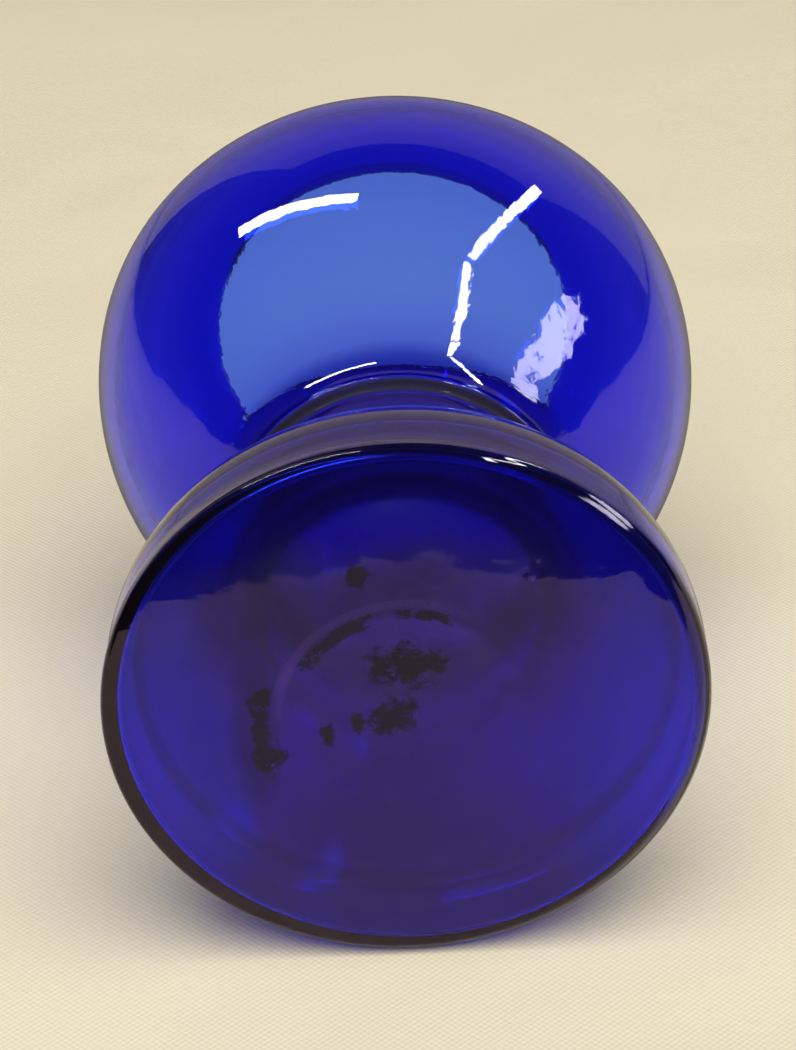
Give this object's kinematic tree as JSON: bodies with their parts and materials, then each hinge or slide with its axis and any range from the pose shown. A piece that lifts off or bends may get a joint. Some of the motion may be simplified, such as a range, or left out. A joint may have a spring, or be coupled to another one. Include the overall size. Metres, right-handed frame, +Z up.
{
  "type": "posy vase",
  "caption": "Small blown glass vase with a low hollow foot, a short neck and a round bowl with an open mouth, for a short bunch of flowers.",
  "frame": {"origin": "centre of the base, on the surface that the vase stands on", "axes": "+Z up along the axis that the vase is turned about, from the base to the mouth"},
  "size_m": [0.0842, 0.0842, 0.1014],
  "materials": {
    "blue_glass": "transparent cobalt blue glass, fire polished, with fine seeds and a matt mark in the base"
  },
  "bodies": {
    "root": {"vase_body": "blue_glass"}
  },
  "joints": []
}
